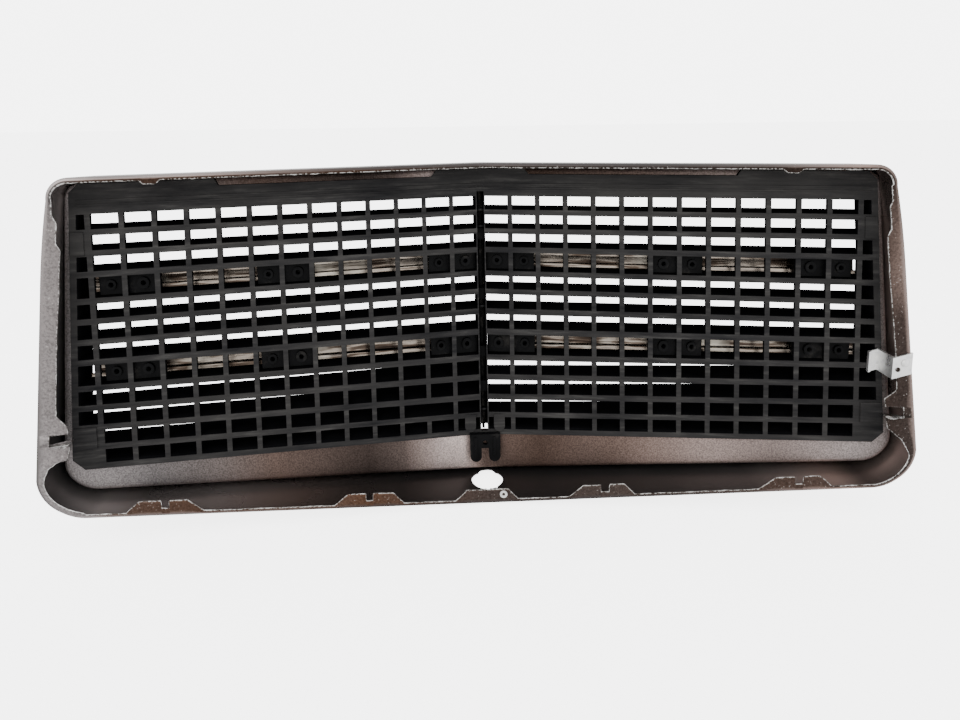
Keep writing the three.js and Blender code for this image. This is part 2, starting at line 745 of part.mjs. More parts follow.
function grilleInsert() {
  const parts = [];
  for (const side of [-1, 1]) {
    parts.push(latticeHalf(side), endWall(side), slotWall(side));
    for (const height of BARS.slice(0, ROWS)) {
      parts.push(slat(side, height));
    }
    parts.push(slat(side, BARS[ROWS] + 2.7, 1.2, 8));
    parts.push(bandRib(side, BARS[0] + 4.3, 0.9), bandRib(side, BARS[0] + 7.4, 0.7));
    parts.push(lugBlock(side, 2), lugBlock(side, 11));
  }
  for (const z of [BARS[1] + 1.4, BARS[2] + 3.2, BARS[6] + 2, BARS[11] - 7]) {
    parts.push(centreSlab(z, z + 1.3, 0.4, LATTICE_DEPTH + 2, SLOT_HALF + 0.4));
  }
  parts.push(tongue(-12.2), tongue(12.8));
  return joined(parts);
}

// ---------------------------------------------------------------- bright mouldings

/** Free height between the slats above and below a trim row, at a depth. */
function rowGap(row, depth) {
  const t = (depth - 1) / (SLAT_DEPTH - 1);
  const thick = SLAT_REAR + (SLAT_FRONT - SLAT_REAR) * t;
  const rise = SLAT_RISE * t;
  return [BARS[row] + rise + thick / 2, BARS[row - 1] + rise - thick / 2];
}

/** Section of a cross moulding: a channel open to the rear with returned lips. */
function stripSection(row) {
  const [low, high] = rowGap(row, STRIP_BACK);
  const a = low + GAP + 0.2;
  const b = high - GAP - 0.2;
  const w = STRIP_WALL;
  const lip = 2.6;
  const middle = (a + b) / 2;
  return [
    [STRIP_BACK, a], [STRIP_FRONT - 1.6, a], [STRIP_FRONT, a + 1.6], [STRIP_FRONT + 1.2, middle],
    [STRIP_FRONT, b - 1.6], [STRIP_FRONT - 1.6, b], [STRIP_BACK, b], [STRIP_BACK, b - lip],
    [STRIP_BACK + w, b - lip], [STRIP_BACK + w, b - w], [STRIP_FRONT - 2, b - w],
    [STRIP_FRONT - w, b - 2.2], [STRIP_FRONT - 0.2, middle], [STRIP_FRONT - w, a + 2.2],
    [STRIP_FRONT - 2, a + w], [STRIP_BACK + w, a + w], [STRIP_BACK + w, a + lip],
    [STRIP_BACK, a + lip],
  ];
}

function crossStrip(side, row) {
  const shape = polygon(stripSection(row));
  const middle = (BARS[row] + BARS[row - 1]) / 2;
  const start = SLOT_HALF + 4.6;
  const end = borderRun(middle) - BORDER - 2;
  const place = (depth, height, t) => onHalf(side, start + t * (end - start), height, depth);
  return mapped(extruded(shape, 1), place, side < 0);
}

/** Black clip behind a cross moulding: a block with a bored boss on each side of a divider. */
function stripClip(side, row, column) {
  const [low, high] = rowGap(row, LATTICE_DEPTH + 3.4);
  const middle = (low + high) / 2;
  const run = fanned(columnStart(column) - DIVIDER_WIDTH / 2, middle);
  const bottom = low + GAP + 0.2;
  const top = high - GAP - 0.2;
  const block = hexa((i, j, k) => onHalf(
    side,
    run + (i - 0.5) * CLIP_WIDTH,
    j ? top : bottom,
    k ? STRIP_BACK - GAP : LATTICE_DEPTH + 3.4,
  ), side > 0);
  const place = (along) => (x, y, z) => (
    onHalf(side, run + along + x, middle + z, LATTICE_DEPTH + 3.2 + y)
  );
  const offsets = [-COLUMN_PITCH / 2, COLUMN_PITCH / 2];
  const bosses = offsets.map((along, i) => {
    const radius = i ? 3.6 : 4.2;
    return mapped(new THREE.CylinderGeometry(radius, radius, 4.4, 20), place(along), side < 0);
  });
  const bores = offsets.map((along) => {
    const bore = new THREE.CylinderGeometry(1.9, 1.9, 10, 16);
    return mapped(bore, place(along), side < 0);
  });
  return cutAway(joined([block, ...bosses]), bores);
}

/** Centre moulding: a rounded cap over the prow with a stem in the slot. */
function centreMoulding() {
  const low = BARS[ROWS] - CROWN - 4;
  const high = BARS[0] + 2;
  const cap = SLAT_DEPTH + 0.4;
  const shape = polygon([
    [-5.2, cap - 0.4], [-4.6, cap + 1.6], [-2.4, cap + 3.4], [0, cap + 4], [2.4, cap + 3.4],
    [4.6, cap + 1.6], [5.2, cap - 0.4], [1.1, cap - 0.4], [1.1, cap - 9], [-1.1, cap - 9],
    [-1.1, cap - 0.4],
  ]);
  const place = (x, depth, t) => {
    const z = low + t * (high - low);
    return [x, faceY(0, z) + depth, z];
  };
  return mapped(extruded(shape, 1), place, false);
}

/** Small clip that straddles the centre moulding's stem inside the slot. */
function slotClip(height) {
  const stem = SLAT_DEPTH - 8.6;
  const half = SLOT_HALF * COS_V - GAP;
  const shape = polygon([
    [-half, 6.4], [half, 6.4], [half, stem + 4], [1.1 + GAP, stem + 4], [1.1 + GAP, stem - GAP],
    [-1.1 - GAP, stem - GAP], [-1.1 - GAP, stem + 4], [-half, stem + 4],
  ]);
  const place = (x, depth, t) => {
    const z = height + t * 9;
    return [x, faceY(0, z) + depth, z];
  };
  return mapped(extruded(shape, 1), place, false);
}

// ---------------------------------------------------------------- fixings

/** Two-legged clip at the centre of the deep rim. */
function centreClip() {
  const half = 13;
  const leg = 4.9;
  const top = BARS[ROWS] - CROWN + 0.6;
  const bridge = top - 12;
  const foot = top - 24;
  const shape = new THREE.Shape();
  shape.moveTo(-half, top);
  shape.lineTo(-half, foot + leg);
  shape.absarc(-half + leg, foot + leg, leg, Math.PI, 2 * Math.PI, false);
  shape.lineTo(-half + 2 * leg, bridge);
  shape.lineTo(half - 2 * leg, bridge);
  shape.lineTo(half - 2 * leg, foot + leg);
  shape.absarc(half - leg, foot + leg, leg, Math.PI, 2 * Math.PI, false);
  shape.lineTo(half, top);
  shape.closePath();
  const eye = new THREE.Path();
  eye.absarc(0, bridge + 4.6, 2.1, 0, 2 * Math.PI, true);
  shape.holes.push(eye);
  const place = (x, z, depth) => [x, faceY(half, z) - GAP - 4.6 + depth, z];
  const plate = mapped(extruded(shape, 4.6, 10), place, true);
  const ribs = [-1, 1].map((side) => {
    const rib = box([side * 8.1 - 1.1, -1.2, foot + 6], [side * 8.1 + 1.1, 1, top - 2]);
    return mapped(rib, (x, y, z) => [x, faceY(half, z) - GAP - 4.6 + y, z], false);
  });
  return joined([plate, ...ribs]);
}

/** Height of the strap's centre line, which climbs as it comes back to the flange. */
function strapHeight(x) {
  const end = railHalf(RAILS.heel, MID_HEIGHT);
  return BARS[8] + 9.8 - 0.34 * (end - x);
}

/** Centre of the rivet, in the middle of the flange's sheet. */
function rivetPlace() {
  const z = strapHeight(railHalf(RAILS.heel, MID_HEIGHT));
  const x = railHalf(RAILS.heel, z) - 5;
  return [x, faceY(x, z) - FLANGE_SET + 0.1, z];
}

/** Zinc-plated strap between the insert's border and the right flange. */
function sideStrap() {
  const [rivetX, , rivetZ] = rivetPlace();
  const rim = rivetX + 5;
  const inner = borderRun(rivetZ) * COS_V - 10.6;
  const seat = -GAP - 0.2;
  const back = -FLANGE_SET - 0.6 - GAP;
  const half = STRAP_WIDTH / 2;
  const reaches = [rivetZ - half, rivetZ, rivetZ + half].map((z) => (
    lookUp(RIGHT_FLANGE, markAt(z))
  ));
  const step = rim - Math.max(...reaches) - GAP - 1.2;
  const t = STRAP_THICK;
  const outline = [
    [inner, seat], [step, seat], [step, back], [rim - 0.6, back], [rim - 0.6, back - t],
    [step - t, back - t], [step - t, seat - t], [inner + t, seat - t],
    [inner + t, seat - t - 1.2], [inner, seat - t - 1.2],
  ];
  const place = (x, depth, across) => {
    const z = strapHeight(x) + (across - 0.5) * STRAP_WIDTH;
    return [x, faceY(x, z) + depth, z];
  };
  const plate = mapped(extruded(polygon(outline), 1), place, false);
  const eyeX = step + 2.4;
  const eyeZ = strapHeight(eyeX) - 2;
  const eye = new THREE.CylinderGeometry(1.9, 1.9, 8, 24);
  const rivet = new THREE.CylinderGeometry(RIVET_RADIUS + GAP, RIVET_RADIUS + GAP, 14, 20);
  return cutAway(plate, [
    squared(eye, 1, SWEEP, [eyeX, faceY(eyeX, eyeZ) + back - t / 2, eyeZ]),
    squared(rivet, 1, SWEEP, rivetPlace()),
  ]);
}

function turned(profile, segments) {
  const points = profile.map(([radius, height]) => new THREE.Vector2(radius, height));
  return new THREE.LatheGeometry(points, segments);
}

/** Rivet through the strap and the flange, with a domed head at the rear. */
function strapRivet() {
  const seat = -0.6 - GAP - STRAP_THICK - GAP - 0.1;
  const r = RIVET_RADIUS;
  const rivet = turned([
    [0, seat - 1.5], [1.8, seat - 1.2], [2.9, seat - 0.3], [2.9, seat], [r, seat], [r, 0.9],
    [r + 1, 0.9], [r + 0.9, 1.7], [0, 2],
  ], 20);
  return squared(rivet, 1, SWEEP, rivetPlace());
}

/** Rivet nut in the centre tab of the deep rim: a threaded sleeve with a flat collar. */
function tabNut() {
  const r = NUT_RADIUS;
  const nut = turned([
    [r - 0.7, -1.5], [r + 1.1, -1.5], [r + 1.1, -0.85], [r, -0.85], [r, 5], [r - 0.7, 5],
    [r - 0.7, -1.5],
  ], 20);
  return squared(nut, 1, lipSweep(), nutPlace());
}

// ---------------------------------------------------------------- materials and assembly

const satinMetal = { color: 0x9a918b, roughness: 0.42, metalness: 0.85 };
const blackPlastic = { color: 0x35353a, roughness: 0.72, metalness: 0 };
const chrome = { color: 0xcfc2ae, roughness: 0.18, metalness: 1 };
const clipPlastic = { color: 0x1d1e22, roughness: 0.6, metalness: 0 };
const zinc = { color: 0xb9b6ae, roughness: 0.35, metalness: 0.9 };

function piece(name, shape, finish) {
  const geometry = toGeometry(asSolid(shape));
  geometry.computeVertexNormals();
  const mesh = new THREE.Mesh(geometry, new THREE.MeshStandardMaterial(finish));
  mesh.name = name;
  return mesh;
}

const grille = new THREE.Group();
grille.name = 'radiator_grille';

const body = new THREE.Group();
body.name = 'body';
body.add(piece('surround_shell', surroundShell(), satinMetal));
body.add(piece('grille_insert', grilleInsert(), blackPlastic));

const mouldings = new THREE.Group();
mouldings.name = 'mouldings';
for (const [row, tier] of [[4, 'upper'], [8, 'lower']]) {
  for (const [side, hand] of [[-1, 'left'], [1, 'right']]) {
    mouldings.add(piece(`moulding_${tier}_${hand}`, crossStrip(side, row), chrome));
    CLIP_COLUMNS.forEach((column, i) => {
      const name = `clip_${tier}_${hand}_${i + 1}`;
      mouldings.add(piece(name, stripClip(side, row, column), clipPlastic));
    });
  }
}
mouldings.add(piece('moulding_centre', centreMoulding(), chrome));
[2, 5, 8, 10].forEach((row, i) => {
  mouldings.add(piece(`slot_clip_${i + 1}`, slotClip(BARS[row] - 8), clipPlastic));
});

const fixings = new THREE.Group();
fixings.name = 'fixings';
fixings.add(piece('centre_clip', centreClip(), blackPlastic));
fixings.add(piece('side_strap', sideStrap(), zinc));
fixings.add(piece('strap_rivet', strapRivet(), zinc));
fixings.add(piece('tab_nut', tabNut(), zinc));

grille.add(body, mouldings, fixings);

const bounds = new THREE.Box3().setFromObject(grille, true);
const middle = bounds.getCenter(new THREE.Vector3());
grille.position.set(-middle.x, -middle.y, -bounds.min.z);

export default grille;
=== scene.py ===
import math

import bpy
import numpy as np
from mathutils import Matrix


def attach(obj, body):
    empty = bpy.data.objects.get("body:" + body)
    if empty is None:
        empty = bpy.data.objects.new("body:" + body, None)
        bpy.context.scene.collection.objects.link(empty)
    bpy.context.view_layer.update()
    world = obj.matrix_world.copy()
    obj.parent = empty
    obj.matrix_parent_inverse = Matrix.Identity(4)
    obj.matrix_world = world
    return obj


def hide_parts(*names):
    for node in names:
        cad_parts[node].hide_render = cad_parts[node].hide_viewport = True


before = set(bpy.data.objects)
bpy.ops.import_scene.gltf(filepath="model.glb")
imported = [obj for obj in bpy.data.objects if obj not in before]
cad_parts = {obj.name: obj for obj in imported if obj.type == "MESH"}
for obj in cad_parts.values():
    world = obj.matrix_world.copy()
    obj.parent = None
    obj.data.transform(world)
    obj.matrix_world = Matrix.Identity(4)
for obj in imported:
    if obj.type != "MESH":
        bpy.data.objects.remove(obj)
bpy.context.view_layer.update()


# ---- Surround shell ----------------------------------------------------------
# One pressed steel sheet, satin and grainy on the band the insert seats on and smooth inside
# the outer wall. It is rolled over at the fold and trimmed at the rear into a lip with tabs.

MM = 0.001
SWEEP = math.tan(math.radians(11.15))
LEAN = math.tan(math.radians(11.0))
DATUM = np.array([0.9944, 5.1404, 38.0015])  # from the drawing's datum to the row frame
MID_HEIGHT = 98.0
SHEET = 1.0

PINCH_FROM = 157.5                             # heights between which the rim is pinched
PINCH_TO = 227.6

# half width, taper, top, bottom, upper and lower corner, crown, set at the side and the middle,
# extra reach on the left, pinch at the shallow edge
RAILS = np.array([
    [307.72, 0.098, 206.8, 15.6, 4, 8, 11, 3.85, 3.85, 0, 0],
    [317.02, 0.112, 221.7, -4.9, 12, 22, 26, 3.85, 3.85, 0, 0],
    [314.52, 0.112, 219.2, -3.6, 10, 20, 25, 29, 29, 0, 0],
    [315.12, 0.115, 219.8, -4.6, 10, 20, 25, 31, 31, 0, 0],
    [317.32, 0.12, 222.2, -8.6, 12, 24, 24.5, 31, 31, 0, 0],
    [318.42, 0.125, 223.4, -10.4, 13, 26, 24, 28.5, 28.5, 1.2, 1.8],
    [320.62, 0.137, 227.2, -13.5, 14, 30, 24, -18, -38, 2.4, 3.6],
    [320.12, 0.137, 226.7, -13.1, 14, 30, 24, -19.6, -41.2, 2.4, 3.6],
])
HEEL = RAILS[-1]
BENDS = [3.2, 2.6, 1.2, 1.4, 3.0, 2.6, 1.2]   # rounding at each rail from the fold outwards
SPANS = [5, 7, 2, 2, 2, 24, 2, 5]             # rows of faces between one bend and the next
LEFT_LIP = np.array([
    [-13, 4], [14, 4.3], [20, 5.3], [25.5, 7.5], [29.4, 12.9], [31, 19.9], [38, 21.3],
    [42.35, 20.8], [42.4, 7.5], [49.8, 7.5], [49.85, 20], [55, 19.3], [63.5, 11.7], [118, 11.1],
    [150, 11.8], [179, 11.5], [184, 8.3], [197.5, 7.8], [203, 4.4], [213, 3.1], [226, 2.2],
])
RIGHT_LIP = np.array([
    [-13, 2.5], [12, 4.1], [17, 6.5], [24.4, 10.1], [33, 19.5], [38, 20.3], [42.35, 20.3],
    [42.4, 7.5], [49.8, 7.5], [49.85, 20.3], [56, 20.3], [63, 11.5], [94, 10.5], [138, 11.2],
    [150, 11.4], [177, 10.8], [182, 7.6], [198, 6.8], [203, 4.4], [213, 3.6], [226, 2.4],
])
TOP_TABS = [(-245, -242, -234, -231), (225, 228, 236, 239)]
TABS = [
    (-273.8, -264, -230, -219, -248.6, -243.4),
    (-122.6, -111.7, -76.6, -68.4, -97.8, -92.6),
    (-27.1, -17.4, 16.4, 24, None, None),
    (65.4, 77.2, 109.6, 118.2, 91.2, 97.6),
    (214.5, 228, 261, 270.7, 242.4, 248.4),
]
EDGE_HALF = 301                                # half lengths of the two edges' scales
TOP_HALF = 290
EDGE_LIP = 2.6
TAB_LIP = 11.4
TOP_LIP = 2.7
TOP_TAB_LIP = 5.3


def face_y(x, z):
    """The V plane: y falls by SWEEP per millimetre off centre and climbs by LEAN with z."""
    return -np.abs(x) * SWEEP + z * LEAN


def bottom_lip():
    """Pairs of x and reach along the deep rim: trapezoid tabs, each with a square notch."""
    pairs = [(-EDGE_HALF, EDGE_LIP)]
    for foot, head, end, toe, notch, notch_end in TABS:
        pairs += [(foot, EDGE_LIP), (head, TAB_LIP)]
        if notch is not None:
            pairs += [(notch - 0.3, TAB_LIP), (notch, EDGE_LIP + 3)]
            pairs += [(notch_end, EDGE_LIP + 3), (notch_end + 0.3, TAB_LIP)]
        pairs += [(end, TAB_LIP), (toe, EDGE_LIP)]
    return np.array(pairs + [(EDGE_HALF, EDGE_LIP)])


def top_lip():
    """Pairs of x and reach along the shallow edge, with its two small tabs."""
    pairs = [(-TOP_HALF, TOP_LIP)]
    for foot, head, end, toe in TOP_TABS:
        pairs += [(foot, TOP_LIP), (head, TOP_TAB_LIP), (end, TOP_TAB_LIP), (toe, TOP_LIP)]
    return np.array(pairs + [(TOP_HALF, TOP_LIP)])


def spread(low, high, step, extra):
    """Even marks from low to high with extra marks mixed in, near doubles dropped."""
    marks = np.concatenate([np.linspace(low, high, int((high - low) / step) + 2), extra])
    marks = np.unique(np.round(marks[(marks >= low) & (marks <= high)], 3))
    keep = np.concatenate([[True], np.diff(marks) > 0.04])
    return marks[keep]


def rim_path():
    """Stations round the rim: part number, fraction along the part and reach of the lip.

    Parts: 0 bottom, 1 right low corner, 2 right side, 3 right high corner, 4 top,
    5 left high corner, 6 left side, 7 left low corner.
    """
    top, bottom, high, low = HEEL[2:6]
    lip, upper = bottom_lip(), top_lip()
    fine = spread(-24, 26, 1.6, np.array([]))
    x = spread(-EDGE_HALF, EDGE_HALF, 5.0, np.concatenate([lip[:, 0], fine]))
    stops = [(0, x / EDGE_HALF, np.interp(x, lip[:, 0], lip[:, 1]))]
    turn = np.linspace(0, 1, 17)[1:-1]
    span = top - high - bottom - low
    for part, table in ((2, RIGHT_LIP), (6, LEFT_LIP)):
        marks = spread(bottom + low, top - high, 5.0, table[:, 0])
        corner_z = bottom + low - low * np.cos(turn * math.pi / 2)
        corner = (1 if part == 2 else 7, turn, np.interp(corner_z, table[:, 0], table[:, 1]))
        side = (part, (marks - bottom - low) / span, np.interp(marks, table[:, 0], table[:, 1]))
        if part == 2:
            stops += [corner, side, (3, turn, np.full(turn.size, TOP_LIP))]
            across = spread(-TOP_HALF, TOP_HALF, 6.0, upper[:, 0])[::-1]
            stops += [(4, across / TOP_HALF, np.interp(across, upper[:, 0], upper[:, 1]))]
        else:
            back = (5, 1 - turn, np.full(turn.size, TOP_LIP))
            stops += [back, tuple(np.asarray(v)[::-1] if np.ndim(v) else v for v in side),
                      (7, 1 - corner[1], corner[2][::-1])]
    part = np.concatenate([np.full(s[1].size, s[0]) for s in stops])
    return part, np.concatenate([s[1] for s in stops]), np.concatenate([s[2] for s in stops])


def rail_half(rail, z, left):
    """Half width of a rail: a straight taper, less a square-law pinch, plus the left's extra."""
    pinch = np.clip((z - PINCH_FROM) / (PINCH_TO - PINCH_FROM), 0, 1) ** 2 * rail[10]
    return rail[0] + left * rail[9] - pinch - rail[1] * (z - MID_HEIGHT)


def rail_points(rail, part, at):
    """Points of one rail: straight runs and quarter circles, dropped by the crown at the middle."""
    half, _, top, bottom, high, low, crown, set_side, set_middle = rail[:9]
    left = ((part > 4) | (((part == 0) | (part == 4)) & (at < 0))).astype(float)
    low_spring = bottom + low
    high_spring = top - high
    low_half = rail_half(rail, low_spring, left)
    high_half = rail_half(rail, high_spring, left)
    turn = at * math.pi / 2
    side_z = low_spring + (high_spring - low_spring) * at
    side_x = rail_half(rail, side_z, left)
    low_x = low_half - low + low * np.sin(turn)
    low_z = low_spring - low * np.cos(turn)
    high_x = high_half - high + high * np.cos(turn)
    high_z = high_spring + high * np.sin(turn)
    flat = np.full(at.size, 1.0)
    x = np.choose(part, [at * (low_half - low), low_x, side_x, high_x, at * (high_half - high),
                         -high_x, -side_x, -low_x])
    z = np.choose(part, [flat * bottom, low_z, side_z, high_z, flat * top, high_z, side_z, low_z])
    lowness = np.choose(part, [flat, np.cos(turn), 0 * flat, 0 * flat, 0 * flat, 0 * flat,
                               0 * flat, np.cos(turn)])
    inward = np.clip(1 - np.abs(x) / half, 0, 1) * lowness
    z = z - crown * inward
    y = face_y(x, z) + set_side + (set_middle - set_side) * inward
    return np.stack([x, y, z], 1)


def rounded(points, radii, spans):
    """A polyline of point arrays with each inner corner replaced by a quadratic Bezier.

    The Bezier starts and ends at the corner's radius along its two sides, or at 45% of a side
    that is shorter. Straight runs get the given number of faces.
    """
    rows = [points[0]]
    leave = points[0]
    for k in range(1, len(points) - 1):
        before = points[k - 1] - points[k]
        after = points[k + 1] - points[k]
        reach_in = np.linalg.norm(before, axis=1, keepdims=True)
        reach_out = np.linalg.norm(after, axis=1, keepdims=True)
        enter = points[k] + before / reach_in * np.minimum(radii[k - 1], 0.45 * reach_in)
        exit_ = points[k] + after / reach_out * np.minimum(radii[k - 1], 0.45 * reach_out)
        for t in np.linspace(0, 1, spans[k - 1] + 1)[1:]:
            rows.append(leave + (enter - leave) * t)
        for t in np.linspace(0, 1, 6)[1:]:
            rows.append(enter * (1 - t) ** 2 + points[k] * 2 * t * (1 - t) + exit_ * t ** 2)
        leave = exit_
    for t in np.linspace(0, 1, spans[len(points) - 2] + 1)[1:]:
        rows.append(leave + (points[-1] - leave) * t)
    return np.stack(rows, 1)


def lip_direction(part, at):
    """Direction the lip is turned in: up from the bottom, in from the sides, down from the top."""
    turn = at * math.pi / 2
    zero = 0 * at
    x = np.choose(part, [zero, -np.sin(turn), zero - 1, -np.cos(turn), zero, np.cos(turn),
                         zero + 1, np.sin(turn)])
    z = np.choose(part, [zero + 1, np.cos(turn), zero, -np.sin(turn), zero - 1, -np.sin(turn),
                         zero, np.cos(turn)])
    return np.stack([x, zero, z], 1)


def grid_mesh(name, points, keep=None, marks=None):
    """A sheet of quads through a grid of points in millimetres, closed along its first axis."""
    rounds, across = points.shape[:2]
    i = np.arange(rounds)[:, None]
    j = np.arange(across - 1)[None, :]
    nxt = (i + 1) % rounds
    quads = np.stack([i * across + j, nxt * across + j, nxt * across + j + 1,
                      i * across + j + 1], -1).reshape(-1, 4)
    flat = points.reshape(-1, 3)
    if keep is not None:
        quads = quads[keep(flat[quads].mean(1))]
    used = np.unique(quads)
    order = np.full(len(flat), -1)
    order[used] = np.arange(used.size)
    mesh = bpy.data.meshes.new(name)
    mesh.from_pydata(((flat[used] + DATUM) * MM).tolist(), [], order[quads].tolist())
    for title, values in (marks or {}).items():
        layer = mesh.attributes.new(title, "FLOAT", "POINT")
        layer.data.foreach_set("value", values.reshape(-1)[used].astype(np.float32))
    mesh.polygons.foreach_set("use_smooth", np.ones(len(mesh.polygons), bool))
    mesh.update()
    return mesh


def add_piece(name, mesh, *materials):
    """Puts a mesh in the scene as a piece that belongs to the one rigid body."""
    piece = bpy.data.objects.new(name, mesh)
    bpy.context.scene.collection.objects.link(piece)
    for material in materials:
        mesh.materials.append(material)
    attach(piece, "root")
    return piece


BADGE = (1.0, -15.75, 13.5)                    # x, y and radius of the round hole
LOBE = (1.0, -5.65, 7.4)                       # the smaller lobe in its front edge
BADGE_BELOW = -30                              # height below which the sheet is the deep rim's
FAR = 99.0


def badge_distance(points):
    """Distance outside the badge hole seen from below: the nearer of its two circles."""
    x, y = points[..., 0], points[..., 1]
    circles = [np.hypot(x - cx, y - cy) - r for cx, cy, r in (BADGE, LOBE)]
    near = np.minimum(*circles)
    return np.where(points[..., 2] < BADGE_BELOW, near, FAR)


def snap_to_badge(points, reach):
    """Moves the points just beside the badge hole's edge square onto it."""
    step = 0.01
    gap = badge_distance(points)
    shift = np.zeros_like(points)
    for axis in (0, 1):
        moved = points.copy()
        moved[..., axis] += step
        shift[..., axis] = (badge_distance(moved) - gap) / step
    close = (np.abs(gap) < reach)[..., None]
    return np.where(close, points - shift * gap[..., None], points)


# x across the grille, how pale the painted sheen is there (painted reflections and shade on the
# sheet) and how brown it is, for the band, the wall and the lip
BAND_PAINTED_SHEEN = np.array([
    [-300, 0.352, 0.1], [-265, 0.242, 0.1], [-215, 0.22, 0.3], [-175, 0.187, 0.6],
    [-98, 0.079, 0.5], [-70, 0.154, 0.45], [-38, 0.66, 0.3], [-18, 0.95, 0.3],
    [0, 0.22, 0.6], [48, 0.106, 0.7], [85, 0.187, 0.6], [109, 0.22, 0.6],
    [182, 0.44, 0.4], [240, 0.352, 0.35], [300, 0.44, 0.2],
])
WALL_PAINTED_SHEEN = np.array([
    [-330, 0.126, 0.1], [-300, 0.42, 0.15], [-270, 0.231, 0.2], [-215, 0.336, 0.2],
    [-150, 0.189, 0.4], [-110, 0.105, 0.3], [-70, 0.074, 0.2], [60, 0.074, 0.1],
    [150, 0.084, 0.1], [215, 0.126, 0.2], [250, 0.273, 0.3], [280, 0.42, 0.5],
    [300, 0.147, 0.4], [325, 0.336, 0.4],
])
LIP_PAINTED_SHEEN = np.array([
    [-330, 0.298, 0.1], [-300, 0.228, 0.15], [-275, 0.096, 0.8], [-215, 0.105, 0.9],
    [-150, 0.158, 0.6], [-100, 0.131, 1.0], [0, 0.07, 0.5], [100, 0.079, 0.5],
    [240, 0.07, 0.7], [300, 0.088, 0.6], [330, 0.105, 0.45],
])

# the right lip's painted highlight by height, the painted sheen's fade on the lip at the shallow
# edge, and where the right lip starts
RIGHT_LIP_PAINTED_HIGHLIGHT = np.array([[100, 0.5], [118, 0.55], [150, 2.0], [185, 2.0], [205, 0.6]])
TOP_FADE = np.array([[198, 1.0], [215, 0.45]])
RIGHT_LIP_FROM = 300


def painted_sheen(points, rows):
    """Painted sheen, as paleness and brownness: each zone's own table, read by x, blended by row.
    """
    x = points[..., 0]
    pale, brown = (
        rows[0] * np.interp(x, BAND_PAINTED_SHEEN[:, 0], BAND_PAINTED_SHEEN[:, k])
        + rows[1] * np.interp(x, WALL_PAINTED_SHEEN[:, 0], WALL_PAINTED_SHEEN[:, k])
        + rows[2] * np.interp(x, LIP_PAINTED_SHEEN[:, 0], LIP_PAINTED_SHEEN[:, k])
        for k in (1, 2)
    )
    # painted highlight on the right lip by height, and the painted sheen faded at the shallow edge
    beside = rows[2] * np.clip((x - RIGHT_LIP_FROM) / 10, 0, 1)
    height = points[..., 2]
    glow = np.interp(height, RIGHT_LIP_PAINTED_HIGHLIGHT[:, 0], RIGHT_LIP_PAINTED_HIGHLIGHT[:, 1])
    top = np.interp(height, TOP_FADE[:, 0], TOP_FADE[:, 1])
    return pale * (1 + beside * (glow - 1)) * (1 + rows[2] * (top - 1)), brown


WALL_ROWS = slice(30, 62)                      # rows of points across the wall and its bends
SNAP_REACH = 1.35
FOLD_START, FOLD_END = 0.235, 0.27             # shares of the way across the sheet
LIP_START, LIP_END = 0.925, 0.945

part, at, reach = rim_path()
rails = [rail_points(rail, part, at) for rail in RAILS]
heel = rails[-1]
lip = heel + lip_direction(part, at) * reach[:, None]
lip[:, 1] = face_y(lip[:, 0], lip[:, 2]) + heel[:, 1] - face_y(heel[:, 0], heel[:, 2]) - 0.3
shell = rounded(rails + [lip], BENDS, SPANS)
shell[:, WALL_ROWS] = snap_to_badge(shell[:, WALL_ROWS], SNAP_REACH)
across = np.concatenate([[0], np.cumsum(np.linalg.norm(np.diff(shell[100], axis=0), axis=1))])
zone = np.broadcast_to(across / across[-1], shell.shape[:2])
trim = np.linalg.norm(shell - lip[:, None, :], axis=2)
band_row = np.clip((FOLD_END - zone) / (FOLD_END - FOLD_START), 0, 1)
lip_row = np.clip((zone - LIP_START) / (LIP_END - LIP_START), 0, 1)
# the pale and brown marks are painted sheen: painted reflections and shade on the sheet
pale, brown = painted_sheen(shell, (band_row, 1 - band_row - lip_row, lip_row))
shell_mesh = grid_mesh(
    "surround", shell, keep=lambda middle: badge_distance(middle) > 0.02,
    marks={"across": zone, "trim": trim, "pale": pale, "brown": brown},
)


def blank_material(name):
    """An empty node material, with its tree and its finished shader."""
    material = bpy.data.materials.new(name)
    material.use_nodes = True
    tree = material.node_tree
    tree.nodes.clear()
    shader = tree.nodes.new("ShaderNodeBsdfPrincipled")
    output = tree.nodes.new("ShaderNodeOutputMaterial")
    tree.links.new(shader.outputs["BSDF"], output.inputs["Surface"])
    return material, tree, shader


def place(tree, scale=(1, 1, 1)):
    """Object coordinates stretched by a scale, for grain that runs one way."""
    coords = tree.nodes.new("ShaderNodeTexCoord")
    stretch = tree.nodes.new("ShaderNodeMapping")
    stretch.inputs["Scale"].default_value = scale
    tree.links.new(coords.outputs["Object"], stretch.inputs["Vector"])
    return stretch.outputs["Vector"]


def cloud(tree, vector, scale, detail=3.0, rough=0.55):
    """Noise, for stains, dust and grain."""
    noise = tree.nodes.new("ShaderNodeTexNoise")
    noise.inputs["Scale"].default_value = scale
    noise.inputs["Detail"].default_value = detail
    noise.inputs["Roughness"].default_value = rough
    tree.links.new(vector, noise.inputs["Vector"])
    return noise.outputs["Fac"]


def ramp(tree, value, *stops):
    """Colours or greys at positions along a value."""
    node = tree.nodes.new("ShaderNodeValToRGB")
    tree.links.new(value, node.inputs["Fac"])
    elements = node.color_ramp.elements
    while len(elements) < len(stops):
        elements.new(0.5)
    for element, (position, colour) in zip(elements, stops):
        element.position = position
        rgb = (colour,) * 3 if isinstance(colour, (int, float)) else colour
        element.color = (*rgb, 1)
    return node.outputs["Color"]


def maths(tree, operation, *values):
    """One sum on sockets or numbers."""
    node = tree.nodes.new("ShaderNodeMath")
    node.operation = operation
    for socket, value in zip(node.inputs, values):
        if isinstance(value, (int, float)):
            socket.default_value = value
        else:
            tree.links.new(value, socket)
    return node.outputs["Value"]


